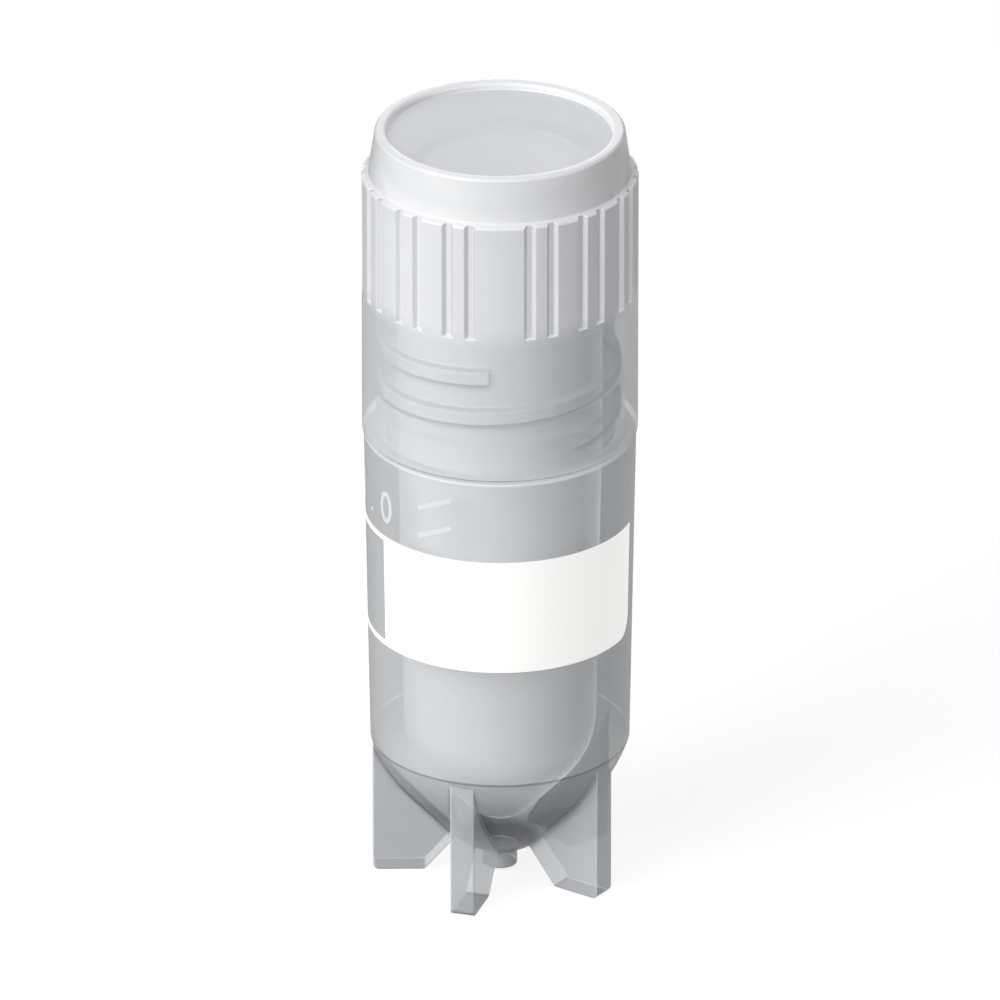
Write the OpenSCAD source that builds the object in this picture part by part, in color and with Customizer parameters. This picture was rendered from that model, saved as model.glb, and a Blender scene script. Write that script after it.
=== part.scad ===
// Self-standing cryogenic vial: a drafted tube with a rounded bottom on a five-finned
// foot, an external screw thread on its neck, a skirted screw cap and a washer that seals
// the cap on the tube's rim. The origin is on the vial's axis, on the surface it stands on.

/* [Heights] */
// Height from the feet to the top of the closed cap
total_h = 37.33; // [31:0.05:46]
// Height of the shoulder that the cap closes down to
shoulder_z = 22.26; // [18:0.05:27]
// Height of the lowest point of the rounded bottom above the feet
tip_z = 0.92; // [0.4:0.05:3]

/* [Tube body] */
// Outer diameter of the body at the shoulder
body_od = 12.54; // [10.4:0.05:16]
// Draft of the body and of its cavity for release from the mould, in degrees
draft = 1; // [0.2:0.1:1.5]
// Angle from upright where the rounded bottom leaves the body, which shows as a crease
crease_angle = 17; // [2:1:30]
// Angle from upright of the bottom's conical stretch
cone_angle = 43; // [36:1:52]
// Radius of the curve between the crease and the conical stretch
bottom_curve_r = 6.9; // [2:0.1:9]
// Radius of the rounded tip of the bottom
tip_r = 3.3; // [1:0.1:4]
// Thickness of the floor at the tip
floor_t = 1.6; // [0.8:0.05:2.5]
// Radius of the curve between the cavity's wall and its conical bottom
cavity_curve_r = 4; // [1:0.1:6]
// Radius of the cavity's rounded tip
cavity_tip_r = 2; // [0.5:0.1:3]
// Radius of the edge at the shoulder
shoulder_edge_r = 0.12; // [0.05:0.01:0.3]

/* [Foot] */
// Number of fins that the vial stands on
fins = 5; // [3:1:8]
// Thickness of a fin
fin_t = 1.12; // [0.6:0.02:1.6]
// How far a fin's outer edge stays inside the body at the crease
fin_inset = 0.1; // [0:0.01:0.5]
// Radial width of the flat that a fin stands on
foot_w = 2.4; // [1.2:0.05:3]
// Slope of the fin's inner lower edge, from level
fin_slope = 49; // [35:1:65]
// Radius of the fin's corners at the foot
fin_corner_r = 0.3; // [0.1:0.05:0.5]
// Turn of the first fin from the front, in degrees
fin_turn = -17.3; // [-36:0.1:36]
// Diameter of the moulding gate's stub under the tip
gate_d = 1.6; // [0.8:0.05:2.4]
// Height of the stub's end above the feet
gate_clear = 0.12; // [0.05:0.01:0.4]

/* [Neck and thread] */
// Width of the shoulder, from the body's surface to the neck
shoulder_w = 1.02; // [0.7:0.01:1.4]
// Wall of the neck
neck_wall = 0.55; // [0.4:0.01:0.9]
// Chamfer of the rim's outer edge
rim_chamfer = 0.28; // [0.1:0.01:0.4]
// Rise of the thread in one turn
pitch = 2; // [1.6:0.05:2.6]
// Height of the thread's ridge above the neck
thread_h = 0.34; // [0.2:0.01:0.5]
// Width of the ridge at its crest
crest_w = 0.6; // [0.3:0.01:0.8]
// Extra width of the ridge at its foot, from its sloping flanks
flank_w = 0.3; // [0.1:0.01:0.4]
// Turns of thread on the neck
neck_turns = 1.88; // [1.2:0.01:2.5]
// Height from the shoulder to the lower end of the neck's thread
thread_start = 1.24; // [1:0.02:2]
// Direction of the lower end of the neck's thread from the front, in degrees
thread_turn = 38; // [0:1:360]
// Angle over which the neck's thread rises from the wall at its lower end, in degrees
neck_run_in = 16; // [5:1:60]

/* [Cap] */
// How far the cap stands out beyond the body at the shoulder
cap_overhang = 0.08; // [0:0.01:0.4]
// Thickness of the cap's top, under the recess
top_t = 1.5; // [0.9:0.05:2]
// Depth of the recess in the cap's top
recess_h = 0.34; // [0.15:0.01:0.8]
// Width of the rim round the recess
crown_rim_w = 0.58; // [0.4:0.01:0.9]
// Height of the conical crown above the grip's ledge
crown_h = 2.07; // [1.2:0.01:3]
// How far the crown narrows from its foot to its rim
crown_lean = 0.28; // [0.1:0.01:0.6]
// Width of the ledge between the crown and the grip
ledge_w = 0.31; // [0.15:0.01:0.5]
// Drop of the ledge towards its edge
ledge_drop = 0.1; // [0.02:0.01:0.3]
// Radius of the ledge's outer edge
ledge_edge_r = 0.12; // [0.05:0.01:0.2]
// Radius of the crown's two upper edges
crown_edge_r = 0.18; // [0.05:0.01:0.25]
// Chamfer of the edges at the cap's lower end
skirt_chamfer = 0.1; // [0.05:0.01:0.2]
// Length of the grip's grooves, down from the ledge's edge
grip_h = 5.62; // [3:0.02:7]
// Number of pairs of grooves on each side of the cap, between two plain stretches
groove_pairs = 7; // [0:1:7]
// Angle from one pair of grooves to the next
pair_step = 24.2; // [20:0.1:24.5]
// Angle between the two grooves of a pair
groove_step = 9.8; // [6:0.1:12]
// Width of a groove at the surface
groove_w = 0.54; // [0.3:0.01:0.8]
// Width of a groove's floor
groove_floor_w = 0.26; // [0.1:0.01:0.6]
// Depth of a groove
groove_h = 0.2; // [0.1:0.01:0.3]
// Turns of thread inside the cap
cap_turns = 1.4; // [1:0.05:2]
// Height from the cap's lower edge to the lower end of its thread
cap_thread_start = 0.62; // [0.5:0.01:1.5]
// Angle over which the cap's thread rises from the wall at its lower end, in degrees
cap_run_in = 30; // [5:1:60]

/* [Seal] */
// Thickness of the washer
seal_t = 0.9; // [0.5:0.05:1.5]
// Width of the washer's ring
seal_w = 1.1; // [0.8:0.05:1.5]
// Wall of the spigot that the washer sits round
spigot_wall = 0.7; // [0.4:0.05:1]
// Depth that the spigot reaches below the washer
spigot_reach = 0.4; // [0.2:0.05:1]

/* [Fits] */
// Gap between the cap's lower edge and the shoulder when closed
close_gap = 0.14; // [0.05:0.01:0.3]
// Gap between a thread's crest and the wall that faces it
crest_gap = 0.13; // [0.08:0.01:0.25]
// Gap between the flanks that pull the cap down
flank_gap = 0.12; // [0.05:0.01:0.2]
// Gap between the neck's rim and the cap's wall round it
rim_gap = 0.15; // [0.1:0.01:0.25]
// Gap between the washer's outer edge and the cap's wall round it
seal_gap = 0.05; // [0.02:0.01:0.1]
// Gap between the washer and the spigot
spigot_gap = 0.05; // [0.02:0.01:0.1]

/* [Hidden] */
$fn = 96;

// Steps of the thread's ridge in one turn, how deep its foot sinks into the wall, and the
// share of its height that it starts with
turn_steps = 36;
sink = 0.15;
lift_start = 0.1;
// Steps on each large and each small rounded stretch of a profile
arc_steps = 30;
edge_steps = 6;
// Length that a cut runs on past the surface it opens
run_out = 1;

body_r = body_od / 2;
neck_r = body_r - shoulder_w;
bore_r = neck_r - neck_wall;
crest_r = neck_r + thread_h;

// The tapering bottom is a curve from the crease, a cone and a round tip: its height is
// worked out from the radius at the crease.
function bottom_h(r, start, curve_r, nose_r) =
    let (cone_r = r - curve_r * (cos(start) - cos(cone_angle)) - nose_r * cos(cone_angle))
    curve_r * (sin(cone_angle) - sin(start)) + cone_r / tan(cone_angle)
    + nose_r * (1 - sin(cone_angle));

// The radius of a drafted wall where it meets such a bottom, whose height depends on it.
function foot_r(top_r, top_z, tip, start, curve_r, nose_r) =
    let (flat = bottom_h(0, start, curve_r, nose_r),
         taper = tan(draft))
    (top_r - (top_z - tip - flat) * taper) / (1 - taper / tan(cone_angle));

function bottom_points(r, tip, start, curve_r, nose_r) =
    let (top = tip + bottom_h(r, start, curve_r, nose_r),
         centre = [r - curve_r * cos(start), top + curve_r * sin(start)])
    [for (i = [0 : arc_steps])
        let (a = start + (cone_angle - start) * i / arc_steps)
        centre + curve_r * [cos(a), -sin(a)],
     for (i = [0 : arc_steps])
        let (a = cone_angle + (90 - cone_angle) * i / arc_steps)
        [nose_r * cos(a), tip + nose_r * (1 - sin(a))]];

// A rounded corner of a profile: points on an arc from one direction to another.
function corner(centre, r, from, to) =
    [for (i = [0 : edge_steps])
        let (a = from + (to - from) * i / edge_steps)
        centre + r * [cos(a), sin(a)]];

crease_r = foot_r(body_r, shoulder_z, tip_z, crease_angle, bottom_curve_r, tip_r);
crease_z = tip_z + bottom_h(crease_r, crease_angle, bottom_curve_r, tip_r);
// The gate's stub starts halfway through the floor.
gate_top_z = tip_z + floor_t / 2;

cavity_tip_z = tip_z + floor_t;
cavity_r = foot_r(bore_r, shoulder_z, cavity_tip_z, 0, cavity_curve_r, cavity_tip_r);

cap_r = body_r + cap_overhang;
cap_z = shoulder_z + close_gap;
skirt_bore_r = crest_r + crest_gap;
cap_crest_r = neck_r + crest_gap;
crown_foot_r = cap_r - ledge_w;
crown_top_r = crown_foot_r - crown_lean;
ledge_z = total_h - crown_h;
under_z = total_h - recess_h - top_t;
seal_z = under_z - seal_t;
rim_z = seal_z;
chamber_r = neck_r + rim_gap;
seal_r = chamber_r - seal_gap;
seal_hole_r = seal_r - seal_w;
spigot_r = seal_hole_r - spigot_gap;
chamber_z = seal_z - rim_chamfer;
spigot_z = seal_z - spigot_reach;

fin_r = crease_r - fin_inset;
foot_in_r = fin_r - foot_w;

neck_thread_z = shoulder_z + thread_start;
cap_thread_z = cap_z + cap_thread_start;
ridge_w = crest_w + flank_w;
// The cap's ridge rides under the neck's, on the same helix. Where the two stand side by
// side their half widths add up to the same sum, and the flank gap comes on top of it.
side_by_side_w = crest_w + flank_w / 2 * (thread_h - crest_gap) / thread_h;
cap_thread_drop = side_by_side_w + flank_gap;
// The turn at which a helix that much lower reaches the start of the cap's thread.
cap_thread_turn = thread_turn + 360 * (cap_thread_z + cap_thread_drop - neck_thread_z) / pitch;

// A thread's ridge, swept up a right-handed helix round the axis. Its foot sinks into the
// wall that carries it, at wall_r. It rises from the wall over its first run_in degrees and
// ends blunt.
module ridge(wall_r, crest_r, z, turn, turns, run_in) {
    side = sign(crest_r - wall_r);
    count = round(turns * turn_steps);
    foot_half_w = ridge_w / 2 + flank_w / 2 * sink / thread_h;
    rings = [for (i = [0 : count])
        let (a = 360 * turns * i / count,
             lift = min(1, lift_start + a / run_in),
             low_r = wall_r - side * sink,
             high_r = wall_r + (crest_r - wall_r) * lift,
             crest_half_w = crest_w / 2 + flank_w / 2 * (1 - lift),
             mid = [0, 0, z + pitch * a / 360],
             dir = [sin(turn + a), -cos(turn + a), 0])
        [dir * low_r + mid - [0, 0, foot_half_w], dir * high_r + mid - [0, 0, crest_half_w],
         dir * high_r + mid + [0, 0, crest_half_w], dir * low_r + mid + [0, 0, foot_half_w]]];
    last = 4 * count;
    sides = [for (i = [0 : count - 1], k = [0 : 3])
        let (a = 4 * i + k, b = 4 * i + (k + 1) % 4)
        each [[a, b, a + 4], [b, b + 4, a + 4]]];
    ends = [[0, 2, 1], [0, 3, 2], [last, last + 1, last + 2], [last, last + 2, last + 3]];
    faces = concat(sides, ends);
    // An inward ridge is the same list seen from its other side.
    polyhedron([for (ring = rings) each ring],
               side > 0 ? faces : [for (f = faces) [f[2], f[1], f[0]]]);
}

// One fin, as its outline in the plane through the axis.
module fin() {
    flat_in_r = foot_in_r + fin_corner_r * tan(fin_slope / 2);
    rotate([90, 0, 0])
        linear_extrude(fin_t, center = true)
            polygon(concat(
                [[0, crease_z], [fin_r, crease_z]],
                corner([fin_r - fin_corner_r, fin_corner_r], fin_corner_r, 0, -90),
                corner([flat_in_r, fin_corner_r], fin_corner_r, -90, -90 - fin_slope),
                [[0, foot_in_r * tan(fin_slope)]]));
}

module tube() {
    shell = concat(
        bottom_points(crease_r, tip_z, crease_angle, bottom_curve_r, tip_r),
        [[0, rim_z], [neck_r - rim_chamfer, rim_z], [neck_r, rim_z - rim_chamfer],
         [neck_r, shoulder_z]],
        corner([body_r - shoulder_edge_r, shoulder_z - shoulder_edge_r], shoulder_edge_r, 90, 0));
    cavity = concat(
        bottom_points(cavity_r, cavity_tip_z, 0, cavity_curve_r, cavity_tip_r),
        [[0, rim_z + run_out], [bore_r, rim_z + run_out], [bore_r, shoulder_z]]);
    color([0.80, 0.82, 0.84])
        difference() {
            union() {
                rotate_extrude() polygon(shell);
                for (i = [0 : fins - 1])
                    rotate(fin_turn - 90 + 360 / fins * i) fin();
                translate([0, 0, gate_clear]) cylinder(d = gate_d, h = gate_top_z - gate_clear);
                ridge(neck_r, crest_r, neck_thread_z, thread_turn, neck_turns, neck_run_in);
            }
            rotate_extrude() polygon(cavity);
        }
}

// The cut for one groove of the grip, from the ledge down to the grip's end.
module groove() {
    // The flanks run on past the surface at their own slope.
    outer_w = groove_w + (groove_w - groove_floor_w) * run_out / groove_h;
    translate([0, 0, ledge_z - ledge_drop - grip_h])
        linear_extrude(grip_h + run_out)
            polygon([[cap_r - groove_h, -groove_floor_w / 2], [cap_r + run_out, -outer_w / 2],
                     [cap_r + run_out, outer_w / 2], [cap_r - groove_h, groove_floor_w / 2]]);
}

module cap() {
    rim_in_r = crown_top_r - crown_rim_w;
    edge_z = total_h - crown_edge_r;
    section = concat(
        [[0, total_h - recess_h], [rim_in_r, total_h - recess_h]],
        corner([rim_in_r + crown_edge_r, edge_z], crown_edge_r, 180, 90),
        corner([crown_top_r - crown_edge_r, edge_z], crown_edge_r, 90, 0),
        [[crown_foot_r, ledge_z]],
        corner([cap_r - ledge_edge_r, ledge_z - ledge_drop - ledge_edge_r], ledge_edge_r, 90, 0),
        [[cap_r, cap_z + skirt_chamfer], [cap_r - skirt_chamfer, cap_z],
         [skirt_bore_r + skirt_chamfer, cap_z], [skirt_bore_r, cap_z + skirt_chamfer],
         [skirt_bore_r, chamber_z - (skirt_bore_r - chamber_r)], [chamber_r, chamber_z],
         [chamber_r, under_z], [spigot_r, under_z], [spigot_r, spigot_z],
         [spigot_r - spigot_wall, spigot_z], [spigot_r - spigot_wall, under_z], [0, under_z]]);
    color([0.86, 0.87, 0.88])
        union() {
            difference() {
                rotate_extrude() polygon(section);
                for (side = [-90, 90], k = [0 : groove_pairs - 1], j = [-0.5, 0.5])
                    rotate(side - 90 + pair_step * (k - (groove_pairs - 1) / 2) + groove_step * j)
                        groove();
            }
            ridge(skirt_bore_r, cap_crest_r, cap_thread_z, cap_thread_turn, cap_turns, cap_run_in);
        }
}

module seal() {
    color([0.95, 0.95, 0.93])
        translate([0, 0, seal_z])
            difference() {
                cylinder(r = seal_r, h = seal_t);
                translate([0, 0, -run_out]) cylinder(r = seal_hole_r, h = seal_t + 2 * run_out);
            }
}

tube();
cap();
seal();
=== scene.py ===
"""Looks of a self-standing cryogenic vial with a screw cap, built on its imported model.

The moulded solids of the vial are the model's own. This script gives them their plastics,
prints the writing panel and the graduations on the tube, and sets the stage."""

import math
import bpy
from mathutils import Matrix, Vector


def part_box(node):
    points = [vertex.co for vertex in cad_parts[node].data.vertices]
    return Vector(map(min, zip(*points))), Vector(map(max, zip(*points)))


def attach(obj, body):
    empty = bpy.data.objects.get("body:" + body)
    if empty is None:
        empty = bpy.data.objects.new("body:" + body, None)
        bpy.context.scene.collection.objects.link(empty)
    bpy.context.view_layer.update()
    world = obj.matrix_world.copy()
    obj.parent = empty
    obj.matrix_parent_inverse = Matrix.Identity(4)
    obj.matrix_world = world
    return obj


bl_info = {
    "name": "Cryogenic vial",
    "version": (1, 0, 0),
    "blender": (4, 5, 0),
    "location": "3D View > Sidebar > Vial",
    "description": "Plastics, print and stage of a self-standing cryogenic vial",
    "category": "Object",
}

import bmesh
import bpy
import numpy as np
from mathutils import Vector

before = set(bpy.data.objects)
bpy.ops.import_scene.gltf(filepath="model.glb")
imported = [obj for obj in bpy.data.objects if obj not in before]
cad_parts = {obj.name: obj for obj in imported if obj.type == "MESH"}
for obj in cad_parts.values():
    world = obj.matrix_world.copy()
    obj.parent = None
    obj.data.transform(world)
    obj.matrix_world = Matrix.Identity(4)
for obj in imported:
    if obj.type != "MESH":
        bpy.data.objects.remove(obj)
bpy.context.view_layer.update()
MM = 0.001
# A property that is a share runs from nothing to all.
SHARE = {"min": 0.0, "max": 1.0, "subtype": "FACTOR"}
# Height over which one stretch of a wall turns into the next.
BLEND = 0.2 * MM
# A printed film starts this far above the wall, and the floor lies this far below the feet, so
# that no two faces share a plane.
FILM_LIFT = 0.001 * MM
FLOOR_DROP = 0.01 * MM
# Half the floor's width, and the width of each lamp.
FLOOR_HALF = 3.0
LAMP_WIDTH = 0.35
# Each lamp's direction from the front and its height, both in degrees, and its distance.
LAMPS = {"key": (-49, 33, 0.5), "fill": (65, 15, 0.5), "back": (180, 8, 1.2)}


# ---------------------------------------------------------------------------------------
# Sizes and colours that a user would change
# ---------------------------------------------------------------------------------------


class TubeFinish(bpy.types.PropertyGroup):
    """Natural polypropylene of the tube"""

    colour: bpy.props.StringProperty(
        name="Colour",
        description="sRGB hex colour of the natural polypropylene",
        default="#e6e8ea",
    )
    cover: bpy.props.FloatProperty(
        name="Cover",
        description="Share of what lies behind that one skin of the wall hides",
        default=0.55,
        **SHARE,
    )
    neck_from: bpy.props.FloatProperty(
        name="Neck start",
        description="Height above which the wall counts as neck",
        default=22.3 * MM,
        unit="LENGTH",
    )
    neck_cover: bpy.props.FloatProperty(
        name="Neck cover",
        description="Share of what lies behind that the neck's outer skin hides",
        default=0.62,
        **SHARE,
    )
    inner_cover: bpy.props.FloatProperty(
        name="Inner cover",
        description="Share of what lies behind that an inner skin hides",
        default=0.88,
        **SHARE,
    )
    thick_from: bpy.props.FloatProperty(
        name="Thick start",
        description="Height where the plastic starts to be thick",
        default=8.0 * MM,
        unit="LENGTH",
    )
    thick_to: bpy.props.FloatProperty(
        name="Thick end",
        description="Height where the plastic is at its thickest",
        default=6.0 * MM,
        unit="LENGTH",
    )
    thick_cover: bpy.props.FloatProperty(
        name="Thick cover",
        description="Share that a skin hides where the plastic behind it is thick",
        default=0.42,
        **SHARE,
    )
    # Painted shade: the fins' flat sides are the same plastic, drawn darker.
    flank_colour: bpy.props.StringProperty(
        name="Flank colour",
        description="sRGB hex colour of the flat sides of the fins",
        default="#d8dbdf",
    )
    flank_cover: bpy.props.FloatProperty(
        name="Flank cover",
        description="Share of what lies behind that a side of a fin hides",
        default=0.52,
        **SHARE,
    )
    # Painted shade: the thread's upper flank on the neck is drawn darker than the wall.
    crest_colour: bpy.props.StringProperty(
        name="Crest colour",
        description="sRGB hex colour of the thread's upper flank",
        default="#b8bbbf",
    )
    crest_to: bpy.props.FloatProperty(
        name="Crest end",
        description="Height up to which the crest colour shows on the thread",
        default=30.0 * MM,
        unit="LENGTH",
    )
    up_cover: bpy.props.FloatProperty(
        name="Upper cover",
        description="Share of what lies behind that a skin that looks up hides",
        default=0.95,
        **SHARE,
    )
    # Painted shade: the shoulder and the cap's recess, which look up, are drawn darker.
    top_colour: bpy.props.StringProperty(
        name="Top colour",
        description="sRGB hex colour of the tube's shoulder or the bottom of the cap's recess",
        default="#d6d8db",
    )
    top_level: bpy.props.FloatProperty(
        name="Top level",
        description="Height of that shoulder or recess",
        default=22.26 * MM,
        unit="LENGTH",
    )
    # Painted shade: an outer skin seen from inside the plastic is drawn dark grey.
    far_colour: bpy.props.StringProperty(
        name="Far skin colour",
        description="sRGB hex colour of an outer skin that is seen from inside the plastic",
        default="#94979b",
    )
    far_cover: bpy.props.FloatProperty(
        name="Far skin cover",
        description="Share of what lies behind that such a far skin hides",
        default=0.85,
        **SHARE,
    )
    # Painted shade: the cavity's bottom is drawn darker.
    bowl_colour: bpy.props.StringProperty(
        name="Cavity bottom colour",
        description="sRGB hex colour of the cavity's bottom",
        default="#d4d7db",
    )
    bowl_cover: bpy.props.FloatProperty(
        name="Cavity bottom cover",
        description="Share of what lies behind that the cavity's bottom hides",
        default=0.8,
        **SHARE,
    )
    bowl_top: bpy.props.FloatProperty(
        name="Cavity bottom top",
        description="Height below which the cavity's wall is its bottom",
        default=8.2 * MM,
        unit="LENGTH",
    )
    # Painted shade: skins that look down are drawn darker, as if no light came from below.
    down_colour: bpy.props.StringProperty(
        name="Underside colour",
        description="sRGB hex colour of the skins that look down",
        default="#929599",
    )
    down_cover: bpy.props.FloatProperty(
        name="Underside cover",
        description="Share of what lies behind that a skin that looks down hides",
        default=0.55,
        **SHARE,
    )
    # Painted shade: the dark line under the thread.
    thread_colour: bpy.props.StringProperty(
        name="Thread colour",
        description="sRGB hex colour of the thread's lower flank",
        default="#3a3d41",
    )
    thread_cover: bpy.props.FloatProperty(
        name="Thread cover",
        description="Share of what lies behind that the thread's lower flank hides",
        default=0.95,
        **SHARE,
    )
    # Painted shade: skins that look straight down are drawn nearly black.
    level_colour: bpy.props.StringProperty(
        name="Level underside colour",
        description="sRGB hex colour of the skins that look straight down",
        default="#34373b",
    )
    level_cover: bpy.props.FloatProperty(
        name="Level underside cover",
        description="Share of what lies behind that a skin that looks straight down hides",
        default=0.95,
        **SHARE,
    )
    # Painted shade along the bottom's crease, where the mould's parting line runs.
    parting_colour: bpy.props.StringProperty(
        name="Parting line colour",
        description="sRGB hex colour of the mould's parting line",
        default="#94979b",
    )
    parting_cover: bpy.props.FloatProperty(
        name="Parting line cover",
        description="Share of what lies behind that the parting line hides",
        default=0.6,
        **SHARE,
    )
    parting_level: bpy.props.FloatProperty(
        name="Parting line level",
        description="Height of the parting line, at the top of the fins",
        default=6.84 * MM,
        unit="LENGTH",
    )
    # Painted shade: corners under a ledge are drawn dark.
    corner_colour: bpy.props.StringProperty(
        name="Corner colour",
        description="sRGB hex colour of the corners under a ledge",
        default="#3a3c40",
    )
    corner_cover: bpy.props.FloatProperty(
        name="Corner cover",
        description="Share of what lies behind that such a corner hides",
        default=0.9,
        **SHARE,
    )
    corner_reach: bpy.props.FloatProperty(
        name="Corner reach",
        description="How far a ledge's shelter reaches",
        default=0.5 * MM,
        unit="LENGTH",
    )
    edge_cover: bpy.props.FloatProperty(
        name="Edge-on cover",
        description="Share that an outer skin hides where it is seen edge on",
        default=0.6,
        **SHARE,
    )
    clear_cover: bpy.props.FloatProperty(
        name="Clear cover",
        description="Share that an inner skin hides where it is seen edge on",
        default=0.1,
        **SHARE,
    )
    # Painted highlight: the cavity's far wall, seen edge on, is drawn white.
    glance_colour: bpy.props.StringProperty(
        name="Glance colour",
        description="sRGB hex colour of the light that the cavity's far wall throws back",
        default="#ffffff",
    )
    glance_cover: bpy.props.FloatProperty(
        name="Glance cover",
        description="Share of what lies behind that such a glancing wall hides",
        default=0.95,
        **SHARE,
    )
    # Painted shade: the dark outline where a wall is seen edge on.
    limb_colour: bpy.props.StringProperty(
        name="Outline colour",
        description="sRGB hex colour of a thin wall that is seen edge on",
        default="#6a6d71",
    )
    limb_to: bpy.props.FloatProperty(
        name="Outline end",
        description="Height up to which the outline turns dark",
        default=22.3 * MM,
        unit="LENGTH",
    )
    # Painted highlight: the moulded edges are drawn white.
    rim_colour: bpy.props.StringProperty(
        name="Edge colour",
        description="sRGB hex colour of the moulded edges, which light leaves by",
        default="#ffffff",
    )
    gather_cover: bpy.props.FloatProperty(
        name="Edge cover",
        description="Share of what lies behind that a fin's moulded edge hides",
        default=0.95,
        **SHARE,
    )
    edge_radius: bpy.props.FloatProperty(
        name="Edge radius",
        description="Radius of the moulded edges",
        default=0.12 * MM,
        unit="LENGTH",
    )
    depth_colour: bpy.props.StringProperty(
        name="Depth colour",
        description="sRGB hex colour that the plastic takes on with depth",
        default="#bcbfc2",
    )
    depth_density: bpy.props.FloatProperty(
        name="Depth density",
        description="How fast the plastic takes that colour on, per metre",
        default=100.0,
        min=0.0,
    )
    lamp_cover: bpy.props.FloatProperty(
        name="Lamp cover",
        description="Share of a lamp's light that one skin stops",
        default=0.1,
        **SHARE,
    )
    gloss: bpy.props.FloatProperty(
        name="Gloss", description="Level of the skin's clear reflection", default=0.4, **SHARE
    )
    roughness: bpy.props.FloatProperty(
        name="Roughness", description="Roughness of the moulded skin", default=0.42, **SHARE
    )
    inner_roughness: bpy.props.FloatProperty(
        name="Inner roughness",
        description="Roughness of the skins that the polished core of the mould leaves",
        default=0.2,
        **SHARE,
    )


def like(group, defaults):
    """The properties of another group, some of them with a new default."""
    made = {}
    for key, old in group.__annotations__.items():
        keywords = dict(old.keywords)
        if key in defaults:
            keywords["default"] = defaults[key]
        made[key] = old.function(**keywords)
    return made


class CapFinish(bpy.types.PropertyGroup):
    """Natural polypropylene of the cap, in the tube's terms. What only the tube has, such as
    its fins, keeps the tube's values."""

    __annotations__ = like(
        TubeFinish,
        {
            "colour": "#dedfe1",
            "neck_from": 10.0 * MM,
            "neck_cover": 0.4,
            "inner_cover": 0.06,
            "thick_from": 29.0 * MM,
            "thick_to": 30.2 * MM,
            "thick_cover": 0.9,
            "crest_to": 0.0,
            "up_cover": 0.85,
            # These colours are the cap's painted shade, as in the tube's finish.
            "top_colour": "#bfc1c6",
            "top_level": 36.95 * MM,
            "far_colour": "#a0a3a7",
            "far_cover": 0.7,
            "down_colour": "#d0d2d4",
            "down_cover": 0.3,
            "thread_colour": "#8a8d91",
            "thread_cover": 0.3,
            "level_colour": "#c4c6c8",
            "level_cover": 0.4,
            "corner_colour": "#a0a2a5",
            "corner_cover": 0.6,
            "corner_reach": 0.25 * MM,
            "edge_cover": 0.7,
            "limb_to": 40.0 * MM,
            "edge_radius": 0.08 * MM,
            "depth_density": 20.0,
            "gloss": 0.6,
            "roughness": 0.36,
        },
    )


class SealFinish(bpy.types.PropertyGroup):
    """Silicone of the washer"""

    colour: bpy.props.StringProperty(
        name="Colour",
        description="sRGB hex colour of the washer's silicone",
        default="#e4e4e0",
    )
    bloom_colour: bpy.props.StringProperty(
        name="Bloom colour",
        description="sRGB hex colour of the faint bloom on the silicone",
        default="#f2f2ef",
    )


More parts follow.
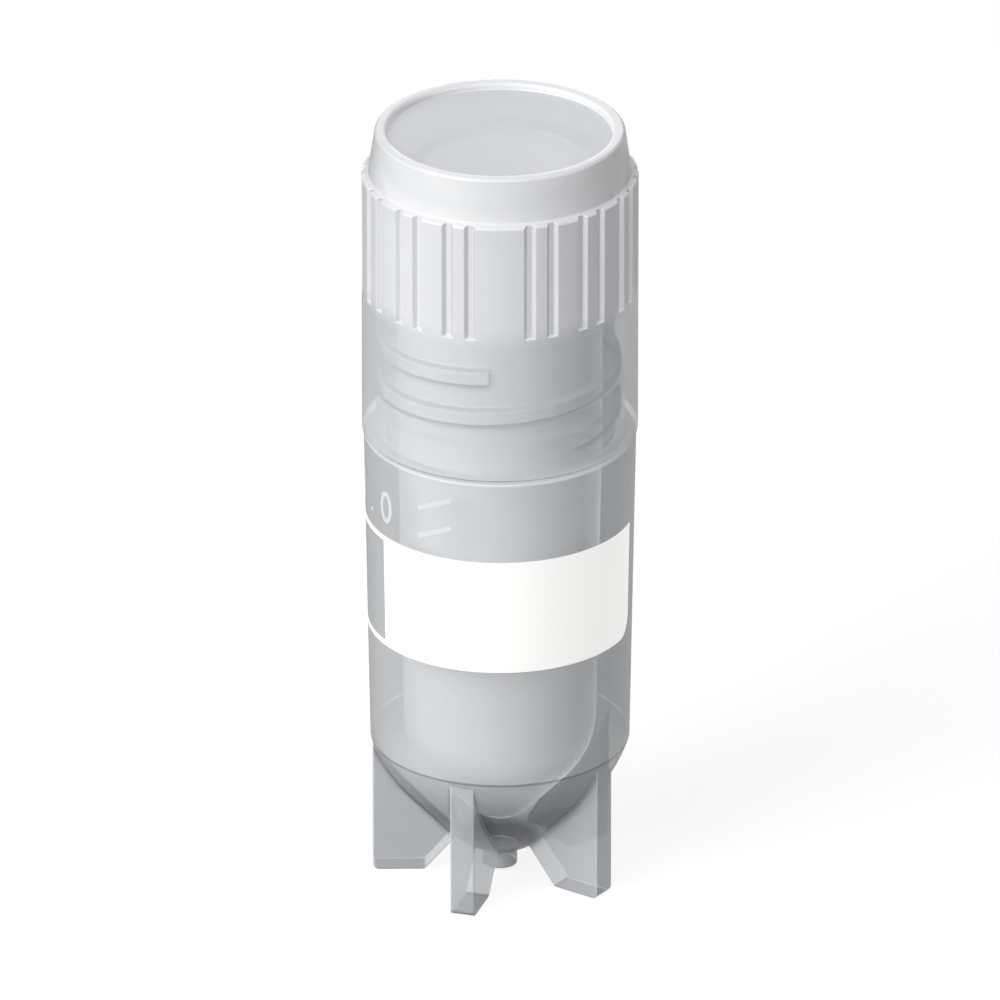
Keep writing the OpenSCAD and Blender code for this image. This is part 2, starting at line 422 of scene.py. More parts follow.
class PrintSizes(bpy.types.PropertyGroup):
    """Writing panel, its frame and the graduations, screen-printed on the tube's wall"""

    wall_radius: bpy.props.FloatProperty(
        name="Wall radius",
        description="Radius of the tube's wall at the shoulder",
        default=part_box("tube")[1].x,
        unit="LENGTH",
    )
    wall_top: bpy.props.FloatProperty(
        name="Wall top",
        description="Height of the shoulder",
        default=22.26 * MM,
        unit="LENGTH",
    )
    draft: bpy.props.FloatProperty(
        name="Draft",
        description="Lean of the tube's wall, which narrows downwards",
        default=math.radians(1.0),
        subtype="ANGLE",
    )
    thickness: bpy.props.FloatProperty(
        name="Thickness",
        description="Thickness of the printed film",
        default=0.02 * MM,
        unit="LENGTH",
    )
    panel_top: bpy.props.FloatProperty(
        name="Panel top",
        description="Height of the panel's upper edge",
        default=18.29 * MM,
        unit="LENGTH",
    )
    panel_bottom: bpy.props.FloatProperty(
        name="Panel bottom",
        description="Height of the panel's lower edge",
        default=12.68 * MM,
        unit="LENGTH",
    )
    panel_left: bpy.props.FloatProperty(
        name="Panel left",
        description="Direction of the panel's left end from the front",
        default=math.radians(-59.4),
        subtype="ANGLE",
    )
    panel_right: bpy.props.FloatProperty(
        name="Panel right",
        description="Direction of the panel's right end from the front",
        default=math.radians(73.5),
        subtype="ANGLE",
    )
    panel_corner: bpy.props.FloatProperty(
        name="Panel corner",
        description="Radius of the panel's lower right corner and of the frame's far corners",
        default=1.0 * MM,
        unit="LENGTH",
    )
    frame_left: bpy.props.FloatProperty(
        name="Frame end",
        description="Direction where the frame that runs on round the back ends",
        default=math.radians(-262.0),
        subtype="ANGLE",
    )
    line: bpy.props.FloatProperty(
        name="Line",
        description="Width of the frame's line",
        default=0.25 * MM,
        unit="LENGTH",
    )
    mark_line: bpy.props.FloatProperty(
        name="Mark line",
        description="Width of the strokes of the graduations and numerals",
        default=0.22 * MM,
        unit="LENGTH",
    )
    numeral_height: bpy.props.FloatProperty(
        name="Numeral height",
        description="Height of the numerals",
        default=1.6 * MM,
        unit="LENGTH",
    )
    numeral_level: bpy.props.FloatProperty(
        name="Numeral level",
        description="Height of the middle of the numerals",
        default=19.8 * MM,
        unit="LENGTH",
    )
    numeral_turn: bpy.props.FloatProperty(
        name="Numeral direction",
        description="Direction of the last numeral from the front",
        default=math.radians(-57.0),
        subtype="ANGLE",
    )
    dash_upper: bpy.props.FloatProperty(
        name="Upper graduation",
        description="Height of the middle of the upper graduation",
        default=20.9 * MM,
        unit="LENGTH",
    )
    dash_lower: bpy.props.FloatProperty(
        name="Lower graduation",
        description="Height of the middle of the lower graduation",
        default=19.5 * MM,
        unit="LENGTH",
    )
    dash_left: bpy.props.FloatProperty(
        name="Graduation left",
        description="Direction of the graduations' left end from the front",
        default=math.radians(-37.0),
        subtype="ANGLE",
    )
    dash_right: bpy.props.FloatProperty(
        name="Graduation right",
        description="Direction of the graduations' right end from the front",
        default=math.radians(-21.0),
        subtype="ANGLE",
    )
    dash_rise: bpy.props.FloatProperty(
        name="Graduation rise",
        description="How much higher the graduations' right end is than the left",
        default=0.75 * MM,
        unit="LENGTH",
    )
    ink: bpy.props.StringProperty(
        name="Ink",
        description="sRGB hex colour of the panel's ink",
        default="#bcbcba",
    )
    # Painted light: the ink glows so that the panel stays white on its shaded side.
    painted_glow: bpy.props.FloatProperty(
        name="Brightener",
        description="Light that the ink's optical brightener adds",
        default=0.55,
        min=0.0,
    )
    mark_ink: bpy.props.StringProperty(
        name="Mark ink",
        description="sRGB hex colour of the graduations",
        default="#f2f4f6",
    )
    mark_cover: bpy.props.FloatProperty(
        name="Mark cover",
        description="Share of the wall that the thin ink of the graduations hides",
        default=0.6,
        **SHARE,
    )


class StageSizes(bpy.types.PropertyGroup):
    """Camera, lamps and floor"""

    elevation: bpy.props.FloatProperty(
        name="Elevation",
        description="Angle by which the camera looks down",
        default=math.radians(25.0),
        subtype="ANGLE",
    )
    distance: bpy.props.FloatProperty(
        name="Distance",
        description="Distance of the camera from the vial",
        default=1.0,
        unit="LENGTH",
    )
    view_width: bpy.props.FloatProperty(
        name="View width",
        description="Width that the picture spans at the vial",
        default=46.08 * MM,
        unit="LENGTH",
    )
    look_height: bpy.props.FloatProperty(
        name="Look height",
        description="Height of the point on the vial's axis that the camera looks at",
        default=18.6 * MM,
        unit="LENGTH",
    )
    key_power: bpy.props.FloatProperty(
        name="Key lamp",
        description="Power of the soft lamp to the front left",
        default=2.8,
        min=0.0,
        unit="POWER",
    )
    fill_power: bpy.props.FloatProperty(
        name="Fill lamp",
        description="Power of the soft lamp to the right",
        default=0.5,
        min=0.0,
        unit="POWER",
    )
    back_power: bpy.props.FloatProperty(
        name="Back lamp",
        description="Power of the soft lamp behind",
        default=1.8,
        min=0.0,
        unit="POWER",
    )
    floor_colour: bpy.props.StringProperty(
        name="Floor colour",
        description="sRGB hex colour of the floor for the light that it sends back up",
        default="#606060",
    )
    paper_colour: bpy.props.StringProperty(
        name="Paper colour",
        description="sRGB hex colour of the floor's paper to the eye",
        default="#a0a0a0",
    )
    paper_glow: bpy.props.FloatProperty(
        name="Paper glow",
        description="Brightness that brings the floor up to the white of the backdrop",
        default=0.7,
        min=0.0,
    )
    surround: bpy.props.FloatProperty(
        name="Surround",
        description="Strength of the even light from the studio's walls",
        default=0.4,
        min=0.0,
    )


# ---------------------------------------------------------------------------------------
# Materials
# ---------------------------------------------------------------------------------------


def linear(hex_colour, alpha=1.0):
    """The linear colour of an sRGB hex colour: each channel goes through the sRGB curve,
    a straight line near black and a power of 2.4 above it."""
    text = hex_colour.lstrip("#")
    channels = np.array([int(text[i : i + 2], 16) for i in (0, 2, 4)]) / 255.0
    bent = np.where(channels <= 0.04045, channels / 12.92, ((channels + 0.055) / 1.055) ** 2.4)
    return (*bent.tolist(), alpha)


def add_node(tree, kind, inputs=None, **settings):
    """Adds a node, sets its properties, and feeds its inputs, by name or by number, with a
    value, a node's first output or another output."""
    node = tree.nodes.new(kind)
    for name, value in settings.items():
        setattr(node, name, value)
    for key, value in (inputs or {}).items():
        if isinstance(value, bpy.types.Node):
            value = value.outputs[0]
        if isinstance(value, bpy.types.NodeSocket):
            tree.links.new(value, node.inputs[key])
        else:
            node.inputs[key].default_value = value
    return node


def new_material(name):
    """An empty node material of that name, and its tree."""
    material = bpy.data.materials.new(name)
    material.use_nodes = True
    material.node_tree.nodes.clear()
    return material, material.node_tree


def which_way(tree):
    """How far a point's own skin looks away from the vial's axis and how far it looks up,
    each from -1 to 1, the point's height in metres, and the side that it is seen from: 1 from
    outside the plastic and -1 from inside it. There a normal comes turned round, and the side
    turns it back."""
    place = add_node(tree, "ShaderNodeTexCoord")
    skin = add_node(tree, "ShaderNodeNewGeometry")
    side = add_node(
        tree,
        "ShaderNodeMath",
        {0: skin.outputs["Backfacing"], 1: -2.0, 2: 1.0},
        operation="MULTIPLY_ADD",
    )
    normal = add_node(
        tree, "ShaderNodeVectorMath", {0: place.outputs["Normal"], 3: side}, operation="SCALE"
    )
    away = add_node(
        tree,
        "ShaderNodeVectorMath",
        {0: place.outputs["Object"], 1: (1.0, 1.0, 0.0)},
        operation="MULTIPLY",
    )
    away = add_node(tree, "ShaderNodeVectorMath", {0: away}, operation="NORMALIZE")
    outward = add_node(
        tree, "ShaderNodeVectorMath", {0: away, 1: normal}, operation="DOT_PRODUCT"
    )
    upward = add_node(tree, "ShaderNodeSeparateXYZ", {0: normal})
    height = add_node(tree, "ShaderNodeSeparateXYZ", {0: place.outputs["Object"]})
    return outward.outputs["Value"], upward.outputs["Z"], height.outputs["Z"], side


def sheltered(tree, side, reach):
    """How much a point is shut in by the plastic beside and above it, within that reach: 0 in
    the open, where it sees 0.85 of its sky or more, and 1 in a corner under a ledge, where it
    sees 0.35 or less. Its sky is the half round its own normal, tilted halfway up. The answer
    says where painted shade goes in corners."""
    skin = add_node(tree, "ShaderNodeNewGeometry")
    normal = add_node(
        tree, "ShaderNodeVectorMath", {0: skin.outputs["Normal"], 3: side}, operation="SCALE"
    )
    tilted = add_node(
        tree, "ShaderNodeVectorMath", {0: normal, 1: (0.0, 0.0, 1.0)}, operation="ADD"
    )
    tilted = add_node(tree, "ShaderNodeVectorMath", {0: tilted}, operation="NORMALIZE")
    sky = add_node(
        tree,
        "ShaderNodeAmbientOcclusion",
        {"Distance": reach, "Normal": tilted},
        samples=8,
        only_local=True,
    )
    return add_node(
        tree,
        "ShaderNodeMapRange",
        {"Value": sky.outputs["AO"], "From Min": 0.85, "From Max": 0.35},
        interpolation_type="SMOOTHSTEP",
    )


def polypropylene(name, finish):
    """Injection-moulded natural polypropylene: milky, semi-crystalline and softly glossy, so
    what lies behind a wall shows through it as a pale shape. A skin hides more where the
    plastic behind it is thick and where it is seen edge on, and a lamp's light scatters on
    through it. Shade and light are also painted into the colour: painted shade on the skins
    that look down, on the thread's flanks, in the corners under a ledge, along the crease, on
    the shoulder, the cap's recess, the cavity's bottom and the fins' sides, on the outline
    and on the far skin of a wall, which is seen from inside; and painted highlights on the
    moulded edges and on the cavity's far wall where it is seen edge on."""
    material, tree = new_material(name)
    outward, upward, height, side = which_way(tree)
    skin = add_node(tree, "ShaderNodeNewGeometry")
    facing = add_node(tree, "ShaderNodeLayerWeight", {"Blend": 0.5}).outputs["Facing"]
    # The mould's edges are rounded. The rounded normal shades them, and where it bends away from
    # the flat one the edge gets a painted highlight.
    rounded = add_node(tree, "ShaderNodeBevel", {"Radius": finish.edge_radius}, samples=6)
    bend = add_node(
        tree,
        "ShaderNodeVectorMath",
        {0: rounded, 1: skin.outputs["Normal"]},
        operation="DOT_PRODUCT",
    )

    # A mask says how much a point belongs to one kind of skin. Each of these goes from 0 at
    # its first limit to 1 at its second. A direction's limits are sines, and a height's metres.
    mask = {
        "height": height,
        "facing": facing,
        "behind": skin.outputs["Backfacing"],
        "corner": sheltered(tree, side, finish.corner_reach),
    }
    for kind, value, none, full, way in (
        ("neck", height, finish.neck_from, finish.neck_from + BLEND, "SMOOTHSTEP"),
        ("thick", height, finish.thick_from, finish.thick_to, "SMOOTHSTEP"),
        ("crest", height, finish.crest_to, finish.crest_to - BLEND, "LINEAR"),
        ("flank", height, finish.parting_level, finish.parting_level - BLEND, "LINEAR"),
        ("below", height, finish.limb_to + BLEND, finish.limb_to, "LINEAR"),
        ("inner", outward, -0.1, -0.3, "SMOOTHSTEP"),
        ("outer", outward, 0.2, 0.5, "SMOOTHSTEP"),
        ("up", upward, 0.3, 0.7, "SMOOTHSTEP"),
        ("bowl", upward, 0.1, 0.4, "SMOOTHSTEP"),
        ("upright", upward, -0.2, -0.1, "LINEAR"),
        ("down", upward, -0.32, -0.68, "LINEAR"),
        ("level", upward, -0.75, -0.9, "SMOOTHSTEP"),
        ("clear", facing, 0.5, 0.9, "LINEAR"),
        ("rim", bend.outputs["Value"], 0.97, 0.8, "SMOOTHSTEP"),
    ):
        mask[kind] = add_node(
            tree,
            "ShaderNodeMapRange",
            {"Value": value, "From Min": none, "From Max": full},
            interpolation_type=way,
        )
    # Down to its tip, 2.8 mm below the parting line, the bottom's undersides take more and
    # more of the painted underside shade, from 0.4 of it to all of it. The neck's take it in
    # full.
    mask["deep"] = add_node(
        tree,
        "ShaderNodeMapRange",
        {
            "Value": height,
            "From Min": finish.parting_level,
            "From Max": finish.parting_level - 2.8 * MM,
            "To Min": 0.4,
        },
    )
    for kind, way, *values in (
        ("deep", "MAXIMUM", "deep", "neck"),
        ("down", "MULTIPLY", "down", "deep"),
        ("thread", "MULTIPLY", "down", "neck"),
        # The thread's upper flank on the neck gets painted shade.
        ("crest", "MULTIPLY", "crest", "neck"),
        ("crest", "MULTIPLY", "crest", "up"),
        # The tube's shoulder and the bottom of the cap's recess look up at one height. Both get
        # painted shade.
        ("top", "COMPARE", "height", finish.top_level, 0.15 * MM),
        ("top", "MULTIPLY", "top", "up"),
        # Only the cavity's bottom looks up so low on the vial. It gets painted shade.
        ("low", "LESS_THAN", "height", finish.bowl_top),
        ("bowl", "MULTIPLY", "bowl", "low"),
        # The mould's two halves meet along the bottom's crease, and painted shade darkens the
        # crease in a line 0.12 mm wide.
        ("parting", "COMPARE", "height", finish.parting_level, 0.06 * MM),
        ("parting", "MULTIPLY", "parting", "outer"),
        # Painted shade in a corner under a ledge goes only on the outer skins that don't look
        # up.
        ("corner", "SUBTRACT", "corner", "inner"),
        ("corner", "SUBTRACT", "corner", "up"),
        # Seen from inside the plastic, every skin but the cavity's is a wall's far one, and it
        # gets painted shade.
        ("far", "SUBTRACT", "behind", "inner"),
        # The fins' upright sides get painted shade. Their moulded edges hide what lies behind
        # them, so that the painted highlight on those edges shows in full.
        ("flank", "MULTIPLY", "flank", "upright"),
        ("gather", "MULTIPLY", "rim", "flank"),
        # Seen edge on, the cavity's near wall is clear, and its far wall gets a painted
        # highlight.
        ("clear", "MULTIPLY", "clear", "inner"),
        ("glance", "SUBTRACT", "clear", "behind"),
        # Seen edge on, an outer wall hides what lies behind it, and the last of it gets a
        # painted dark outline.
        ("edge", "POWER", "facing", 3.0),
        ("limb", "MULTIPLY", "edge", "outer"),
        ("limb", "MULTIPLY", "limb", "below"),
        ("edge", "SUBTRACT", "edge", "inner"),
    ):
        mask[kind] = add_node(
            tree,
            "ShaderNodeMath",
            {number: mask.get(value, value) for number, value in enumerate(values)},
            operation=way,
            use_clamp=way == "SUBTRACT",
        )

    # The melt cools unevenly, which leaves the plastic a little milkier every 4 mm or so.
    place = add_node(tree, "ShaderNodeTexCoord")
    milk = add_node(
        tree,
        "ShaderNodeTexNoise",
        {"Vector": place.outputs["Object"], "Scale": 1.0 / (4.0 * MM), "Detail": 3.0},
    )
    cloudy = add_node(
        tree,
        "ShaderNodeMapRange",
        {"Value": milk, "From Min": 0.3, "From Max": 0.7, "To Min": -0.04, "To Max": 0.04},
    )
    # Spark erosion leaves a grain of about 0.03 mm on the mould. That is too fine to show, so
    # it is drawn at 0.15 mm.
    grain = add_node(
        tree,
        "ShaderNodeTexNoise",
        {"Vector": place.outputs["Object"], "Scale": 1.0 / (0.15 * MM), "Detail": 2.0},
    )
    bump = add_node(
        tree,
        "ShaderNodeBump",
        {"Height": grain, "Strength": 0.1, "Distance": 0.004 * MM, "Normal": rounded},
    )

    # Each kind of skin covers the ones before it.
    cover = finish.cover
    for kind in "neck inner thick flank".split():
        share = getattr(finish, kind + "_cover")
        cover = add_node(tree, "ShaderNodeMix", {0: mask[kind], 2: cover, 3: share})
    cover = add_node(tree, "ShaderNodeMath", {0: cover, 1: cloudy}, operation="ADD")
    kinds = "up far bowl down thread level corner parting edge clear glance gather"
    for kind in kinds.split():
        share = getattr(finish, kind + "_cover")
        cover = add_node(tree, "ShaderNodeMix", {0: mask[kind], 2: cover, 3: share})
    path = add_node(tree, "ShaderNodeLightPath")
    cover = add_node(
        tree, "ShaderNodeMix", {0: path.outputs["Is Shadow Ray"], 2: cover, 3: finish.lamp_cover}
    )

    # Every colour mixed in after the plastic's own is painted: painted shade on the fins' sides,
    # the thread, the shoulder and recess, far skins, the cavity's bottom, undersides, the
    # crease, corners and the outline, and painted highlights on the cavity's far wall and the
    # moulded edges.
    colour = linear(finish.colour)
    kinds = "flank crest top far bowl down thread level parting corner glance limb rim"
    for kind in kinds.split():
        shade = linear(getattr(finish, kind + "_colour"))
        colour = add_node(
            tree, "ShaderNodeMix", {0: mask[kind], 6: colour, 7: shade}, data_type="RGBA"
        ).outputs[2]

    rough = add_node(
        tree, "ShaderNodeMix", {0: mask["inner"], 2: finish.roughness, 3: finish.inner_roughness}
    )
    rough = add_node(tree, "ShaderNodeMath", {0: rough, 1: cloudy}, operation="ADD")
    shader = add_node(
        tree,
        "ShaderNodeBsdfPrincipled",
        {
            "Base Color": colour,
            "Roughness": rough,
            "IOR": 1.49,
            "Specular IOR Level": finish.gloss,
            "Alpha": cover,
            "Normal": bump,
        },
    )
    inside = add_node(
        tree,
        "ShaderNodeVolumeAbsorption",
        {"Color": linear(finish.depth_colour), "Density": finish.depth_density},
    )
    add_node(tree, "ShaderNodeOutputMaterial", {"Surface": shader, "Volume": inside})
    return material


def silicone(name, finish):
    """Moulded silicone rubber: off-white, soft and dull, with a faint bloom in patches of
    about 1.5 mm."""
    material, tree = new_material(name)
    place = add_node(tree, "ShaderNodeTexCoord")
    bloom = add_node(
        tree,
        "ShaderNodeTexNoise",
        {"Vector": place.outputs["Object"], "Scale": 1.0 / (1.5 * MM), "Detail": 4.0},
    )
    white = add_node(
        tree,
        "ShaderNodeMix",
        {0: bloom, 6: linear(finish.colour), 7: linear(finish.bloom_colour)},
        data_type="RGBA",
    )
    dull = add_node(
        tree, "ShaderNodeMapRange", {"Value": bloom, "To Min": 0.5, "To Max": 0.7}
    )
    bump = add_node(
        tree, "ShaderNodeBump", {"Height": bloom, "Strength": 0.2, "Distance": 0.02 * MM}
    )
    shader = add_node(
        tree,
        "ShaderNodeBsdfPrincipled",
        {"Base Color": white.outputs[2], "Roughness": dull, "IOR": 1.41, "Normal": bump},
    )
    add_node(tree, "ShaderNodeOutputMaterial", {"Surface": shader})
    return material


def screen_ink(name, colour, cover, painted_glow):
    """Screen-printed two-part epoxy ink: a thin, even, dull white film. Its glow, the last
    argument, is painted light that keeps the film white where the lamps leave it in shade."""
    material, tree = new_material(name)
    place = add_node(tree, "ShaderNodeTexCoord")
    # The screen's mesh leaves the film a little uneven, every 0.12 mm.
    mesh = add_node(
        tree,
        "ShaderNodeTexNoise",
        {"Vector": place.outputs["Object"], "Scale": 1.0 / (0.12 * MM), "Detail": 2.0},
    )
    bump = add_node(
        tree, "ShaderNodeBump", {"Height": mesh, "Strength": 0.15, "Distance": 0.01 * MM}
    )
    shader = add_node(
        tree,
        "ShaderNodeBsdfPrincipled",
        {
            "Base Color": linear(colour),
            "Roughness": 0.55,
            "IOR": 1.55,
            "Alpha": cover,
            "Emission Color": (1.0, 1.0, 0.99, 1.0),
            "Emission Strength": painted_glow,
            "Normal": bump,
        },
    )
    add_node(tree, "ShaderNodeOutputMaterial", {"Surface": shader})
    return material


def seen_by_eye(tree):
    """1 for a ray from the camera, a mirror or clear glass, and 0 for a ray of scattered
    light: the sum of three of the light path's answers, at most 1."""
    path = add_node(tree, "ShaderNodeLightPath")
    total = add_node(
        tree,
        "ShaderNodeMath",
        {0: path.outputs["Is Camera Ray"], 1: path.outputs["Is Glossy Ray"]},
        operation="ADD",
    )
    return add_node(
        tree,
        "ShaderNodeMath",
        {0: total, 1: path.outputs["Is Transmission Ray"]},
        operation="ADD",
        use_clamp=True,
    )


def finish_node(name, material):
    """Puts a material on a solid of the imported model."""
    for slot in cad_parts[name].material_slots:
        slot.material = material


# ---------------------------------------------------------------------------------------
# Surfaces
# ---------------------------------------------------------------------------------------


def on_wall(sizes, turn, height, lift):
    """Points of the drafted wall: at each direction and height the radius is the shoulder's,
    less the drop below the shoulder times the tangent of the draft, plus a lift."""
    radius = sizes.wall_radius - (sizes.wall_top - height) * math.tan(sizes.draft) + lift
    return np.stack([radius * np.sin(turn), -radius * np.cos(turn), height], axis=-1)


def film(sizes, turn, height, closed=False):
    """A printed film over a grid of directions and heights, both given as arrays of rows.
    Its outer sheet lies one thickness above the wall and its inner sheet just clear of it,
    and walls along the grid's edge join the two. A closed film's last row runs on into its
    first."""
    rows, columns = turn.shape
    outer = on_wall(sizes, turn, height, sizes.thickness).reshape(-1, 3)
    inner = on_wall(sizes, turn, height, FILM_LIFT).reshape(-1, 3)
    number = np.arange(rows * columns).reshape(rows, columns)
    start = number if closed else number[:-1]
    end = np.roll(number, -1, axis=0) if closed else number[1:]
    sheet = np.stack([start[:, :-1], end[:, :-1], end[:, 1:], start[:, 1:]], axis=-1)
    sheet = sheet.reshape(-1, 4)
    sides = [(start[:, 0], end[:, 0]), (end[:, -1], start[:, -1])]
    if not closed:
        sides += [(number[0, 1:], number[0, :-1]), (number[-1, :-1], number[-1, 1:])]
    first, second = np.concatenate([np.stack(side, axis=-1) for side in sides]).T
    under = rows * columns
    walls = np.stack([second, first, first + under, second + under], axis=-1)
    faces = np.concatenate([sheet, sheet[:, ::-1] + under, walls])
    return np.concatenate([outer, inner]), faces


def stroke(sizes, path, width, closed=False):
    """A stroke of one width along a path of points, each a distance round the wall and a
    height. Its two edges lie half the width to the sides of the path, square to its run."""
    if closed:
        run = np.roll(path, -1, axis=0) - np.roll(path, 1, axis=0)
    else:
        run = np.gradient(path, axis=0)
    run /= np.linalg.norm(run, axis=1, keepdims=True)
    side = np.stack([-run[:, 1], run[:, 0]], axis=1)
    across = np.linspace(0.5, -0.5, 3) * width
    grid = path[:, None, :] + side[:, None, :] * across[None, :, None]
    return film(sizes, grid[..., 0] / sizes.wall_radius, grid[..., 1], closed)


def panel_film(sizes):
    """The writing panel: a grid of directions, with finer steps towards its right end, by
    heights from its lower edge to its upper one. The lower edge is level and rises along a
    quarter circle at the right end: by the corner's radius less the root of the radius
    squared less the way into the corner squared."""
    turn = np.linspace(sizes.panel_left, sizes.panel_right, 120)
    turn = np.concatenate([turn[:-1], sizes.panel_right - np.geomspace(0.02, 1e-4, 24)])
    turn = np.sort(turn)
    into = sizes.panel_corner - (sizes.panel_right - turn) * sizes.wall_radius
    into = np.clip(into, 0.0, sizes.panel_corner)
    low = sizes.panel_bottom + sizes.panel_corner - np.sqrt(sizes.panel_corner**2 - into**2)
    share = np.linspace(0.0, 1.0, 12)
    height = low[:, None] + (sizes.panel_top - low[:, None]) * share[None, :]
    return film(sizes, np.repeat(turn[:, None], len(share), axis=1), height)


def frame_path(sizes):
    """The line that frames a clear field, as distances round the wall and heights: it runs
    from the panel along the top to the far end, turns down by a quarter circle, and comes
    back by another one along the bottom."""
    left, right = sizes.frame_left * sizes.wall_radius, sizes.panel_left * sizes.wall_radius
    half = sizes.line / 2
    top, bottom = sizes.panel_top - half, sizes.panel_bottom + half
    corner = sizes.panel_corner
    angle = np.linspace(0.0, math.pi / 2, 16)
    across, along = corner * np.sin(angle), corner * np.cos(angle)
    parts = [
        (np.linspace(right + half, left + corner, 160), np.full(160, top)),
        (left + corner - across, top - corner + along),
        (np.full(24, left), np.linspace(top - corner, bottom + corner, 24)),
        (left + corner - along, bottom + corner - across),
        (np.linspace(left + corner, right + half, 160), np.full(160, bottom)),
    ]
    # Each part starts where the one before it ends.
    parts = [np.stack(part, axis=1) for part in parts]
    return np.concatenate([parts[0]] + [part[1:] for part in parts[1:]])


def numeral_strokes(sizes):
    """The numeral 1.0: its nought is an ellipse about half as wide as it is tall, its point
    is a small circle, and its one is a flag that rises to the top of a stem. Their places and
    sizes are shares of the numeral's height."""
    tall, width = sizes.numeral_height, sizes.mark_line
    place = np.array([sizes.numeral_turn * sizes.wall_radius, sizes.numeral_level])
    angle = np.linspace(0.0, 2 * math.pi, 48, endpoint=False)
    circle = np.stack([np.cos(angle), np.sin(angle)], axis=1)
    nought = place + circle * [0.22 * tall, (tall - width) / 2]
    dot = place + [-0.92 * tall, -tall / 2 + width * 0.6] + 0.25 * width * circle
    bend = np.array(
        [[-0.24, 0.26], [-0.1, 0.36], [0.0, 0.5], [0.0, 0.25], [0.0, 0.0], [0.0, -0.5]]
    )
    steps = np.linspace(0, len(bend) - 1, 40)
    one = np.stack([np.interp(steps, np.arange(len(bend)), way) for way in bend.T], axis=1)
    one = place + [-1.88 * tall, 0.0] + one * (tall - width)
    # The point's stroke stops just short of its middle, so that every face has an area.
    return [
        stroke(sizes, nought, width, closed=True),
        stroke(sizes, dot, width * 0.48, closed=True),
        stroke(sizes, one, width),
    ]


def dash_stroke(sizes, level):
    """A graduation: a straight stroke that rises to the right about its middle."""
    run = np.linspace(0.0, 1.0, 12)
    left, right = sizes.dash_left * sizes.wall_radius, sizes.dash_right * sizes.wall_radius
    dash = np.stack([left + (right - left) * run, level + (run - 0.5) * sizes.dash_rise], axis=1)
    return stroke(sizes, dash, sizes.mark_line)


def joined(parts):
    """One list of points and one of faces from several."""
    count = np.cumsum([0] + [len(points) for points, _ in parts[:-1]])
    points = np.concatenate([points for points, _ in parts])
    faces = np.concatenate([faces + first for (_, faces), first in zip(parts, count)])
    return points, faces


def new_piece(name, body, surface, material):
    """An object of that surface that rides on a body of the model. Its faces are turned
    outwards."""
    points, faces = surface
    mesh = bpy.data.meshes.new(name)
    mesh.from_pydata(points.tolist(), [], faces.tolist())
    mesh.materials.append(material)
    piece = bpy.data.objects.new(name, mesh)
    bpy.context.scene.collection.objects.link(piece)
    shape = bmesh.new()
    shape.from_mesh(mesh)
    bmesh.ops.recalc_face_normals(shape, faces=shape.faces)
    shape.to_mesh(mesh)
    shape.free()
    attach(piece, body)


# ---------------------------------------------------------------------------------------
# Operators
# ---------------------------------------------------------------------------------------


class VIAL_OT_tube(bpy.types.Operator):
    """Finish the tube in natural polypropylene"""

    bl_idname = "vial.tube"
    bl_label = "Tube"

    def execute(self, context):
        finish = context.scene.vial_tube
        finish_node("tube", polypropylene("tube_polypropylene_moulded", finish))
        return {"FINISHED"}


class VIAL_OT_cap(bpy.types.Operator):
    """Finish the cap in natural polypropylene"""

    bl_idname = "vial.cap"
    bl_label = "Cap"

    def execute(self, context):
        finish = context.scene.vial_cap
        finish_node("cap", polypropylene("cap_polypropylene_moulded", finish))
        return {"FINISHED"}


class VIAL_OT_seal(bpy.types.Operator):
    """Finish the washer in silicone"""

    bl_idname = "vial.seal"
    bl_label = "Seal"

    def execute(self, context):
        finish_node("seal", silicone("seal_silicone_moulded", context.scene.vial_seal))
        return {"FINISHED"}


class VIAL_OT_writing_panel(bpy.types.Operator):
    """Print the white writing panel and the frame that runs on round the back"""

    bl_idname = "vial.writing_panel"
    bl_label = "Writing panel"

    def execute(self, context):
        sizes = context.scene.vial_print
        # The panel's ink glows with painted light.
        ink = screen_ink("panel_epoxy_ink_printed", sizes.ink, 1.0, sizes.painted_glow)
        new_piece("writing_panel", "tube", panel_film(sizes), ink)
        line = stroke(sizes, frame_path(sizes), sizes.line)
        new_piece("panel_frame", "tube", line, ink)
        return {"FINISHED"}


class VIAL_OT_graduations(bpy.types.Operator):
    """Print the numerals and the graduations"""

    bl_idname = "vial.graduations"
    bl_label = "Graduations"

    def execute(self, context):
        sizes = context.scene.vial_print
        ink = screen_ink("mark_epoxy_ink_printed", sizes.mark_ink, sizes.mark_cover, 0.0)
        marks = numeral_strokes(sizes)
        marks += [dash_stroke(sizes, level) for level in (sizes.dash_upper, sizes.dash_lower)]
        new_piece("graduations", "tube", joined(marks), ink)
        return {"FINISHED"}


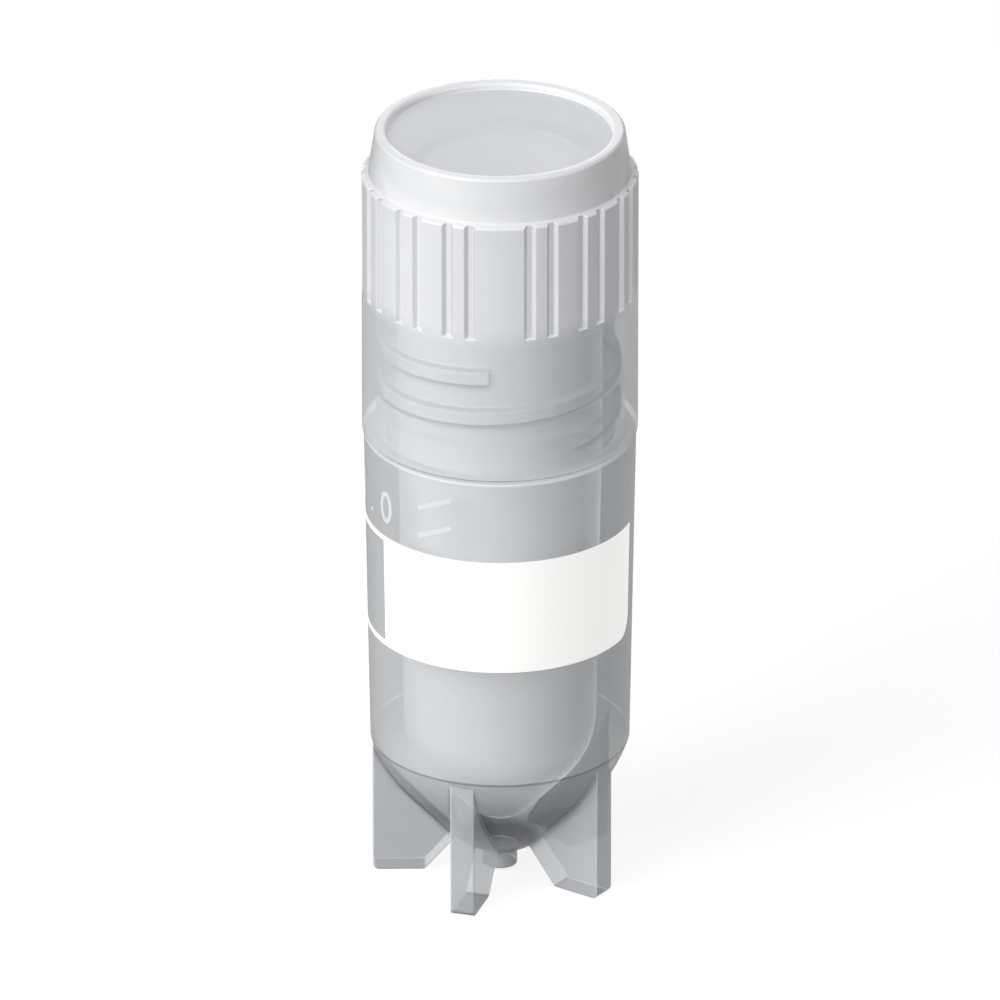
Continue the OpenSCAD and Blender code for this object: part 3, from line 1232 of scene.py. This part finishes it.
class VIAL_OT_stage(bpy.types.Operator):
    """Set the camera, the surround, the lamps and the floor"""

    bl_idname = "vial.stage"
    bl_label = "Stage"

    def execute(self, context):
        sizes = context.scene.vial_stage
        scene = context.scene
        white = (1, 1, 1, 1)
        scene.view_settings.view_transform = "Standard"
        # A line of sight crosses the cap, its thread, the neck and the wall behind them.
        scene.cycles.transparent_max_bounces = 32

        camera = bpy.data.objects.new("camera", bpy.data.cameras.new("camera"))
        scene.collection.objects.link(camera)
        camera.data.sensor_width = 36.0
        camera.data.lens = camera.data.sensor_width * sizes.distance / sizes.view_width
        camera.data.clip_start = 0.01
        camera.data.clip_end = 10.0
        aim = Vector((0, 0, sizes.look_height))
        back = Vector((0, -math.cos(sizes.elevation), math.sin(sizes.elevation)))
        camera.location = aim + back * sizes.distance
        camera.rotation_mode = "QUATERNION"
        camera.rotation_quaternion = (-back).to_track_quat("-Z", "Y")
        scene.camera = camera

        for name, (turn, rise, distance) in LAMPS.items():
            data = bpy.data.lights.new(name, "AREA")
            data.shape = "DISK"
            data.size = LAMP_WIDTH
            data.energy = getattr(sizes, name + "_power")
            lamp = bpy.data.objects.new(name, data)
            scene.collection.objects.link(lamp)
            a, e = math.radians(turn), math.radians(rise)
            away = Vector((math.sin(a) * math.cos(e), -math.cos(a) * math.cos(e), math.sin(e)))
            lamp.location = aim + away * distance
            lamp.rotation_mode = "QUATERNION"
            lamp.rotation_quaternion = (-away).to_track_quat("-Z", "Y")

        # The walls of the studio light the vial dimly, and the eye sees them white.
        world = bpy.data.worlds.new("studio")
        world.use_nodes = True
        scene.world = world
        tree = world.node_tree
        tree.nodes.clear()
        dim = add_node(
            tree, "ShaderNodeBackground", {"Color": white, "Strength": sizes.surround}
        )
        bright = add_node(tree, "ShaderNodeBackground", {"Color": white, "Strength": 1.0})
        mix = add_node(tree, "ShaderNodeMixShader", {0: seen_by_eye(tree), 1: dim, 2: bright})
        add_node(tree, "ShaderNodeOutputWorld", {"Surface": mix})

        # The paper sends little light back up, and to the eye its own glow makes it white.
        material, tree = new_material("floor_paper")
        dark = add_node(tree, "ShaderNodeBsdfDiffuse", {"Color": linear(sizes.floor_colour)})
        paper = add_node(tree, "ShaderNodeBsdfDiffuse", {"Color": linear(sizes.paper_colour)})
        glow = add_node(
            tree, "ShaderNodeEmission", {"Color": white, "Strength": sizes.paper_glow}
        )
        lit = add_node(tree, "ShaderNodeAddShader", {0: paper, 1: glow})
        mix = add_node(tree, "ShaderNodeMixShader", {0: seen_by_eye(tree), 1: dark, 2: lit})
        add_node(tree, "ShaderNodeOutputMaterial", {"Surface": mix})

        mesh = bpy.data.meshes.new("floor")
        corners = [(-1, -1), (1, -1), (1, 1), (-1, 1)]
        corners = [(x * FLOOR_HALF, y * FLOOR_HALF, -FLOOR_DROP) for x, y in corners]
        mesh.from_pydata(corners, [], [(0, 1, 2, 3)])
        mesh.materials.append(material)
        floor = bpy.data.objects.new("floor", mesh)
        scene.collection.objects.link(floor)
        return {"FINISHED"}


class VIAL_PT_panel(bpy.types.Panel):
    """The vial's pieces, in the sidebar of the 3D view"""

    bl_idname = "VIAL_PT_panel"
    bl_label = "Cryogenic vial"
    bl_space_type = "VIEW_3D"
    bl_region_type = "UI"
    bl_category = "Vial"

    def draw(self, context):
        for operator in OPERATORS:
            self.layout.operator(operator.bl_idname)


OPERATORS = (
    VIAL_OT_tube,
    VIAL_OT_cap,
    VIAL_OT_seal,
    VIAL_OT_writing_panel,
    VIAL_OT_graduations,
    VIAL_OT_stage,
)
GROUPS = {
    "vial_tube": TubeFinish,
    "vial_cap": CapFinish,
    "vial_seal": SealFinish,
    "vial_print": PrintSizes,
    "vial_stage": StageSizes,
}


def register():
    for name, group in GROUPS.items():
        bpy.utils.register_class(group)
        setattr(bpy.types.Scene, name, bpy.props.PointerProperty(type=group))
    for operator in OPERATORS:
        bpy.utils.register_class(operator)
    bpy.utils.register_class(VIAL_PT_panel)


def unregister():
    bpy.utils.unregister_class(VIAL_PT_panel)
    for operator in reversed(OPERATORS):
        bpy.utils.unregister_class(operator)
    for name, group in reversed(GROUPS.items()):
        delattr(bpy.types.Scene, name)
        bpy.utils.unregister_class(group)


def main():
    register()
    bpy.ops.vial.tube()
    bpy.ops.vial.cap()
    bpy.ops.vial.seal()
    bpy.ops.vial.writing_panel()
    bpy.ops.vial.graduations()
    bpy.ops.vial.stage()


if __name__ == "__main__":
    main()
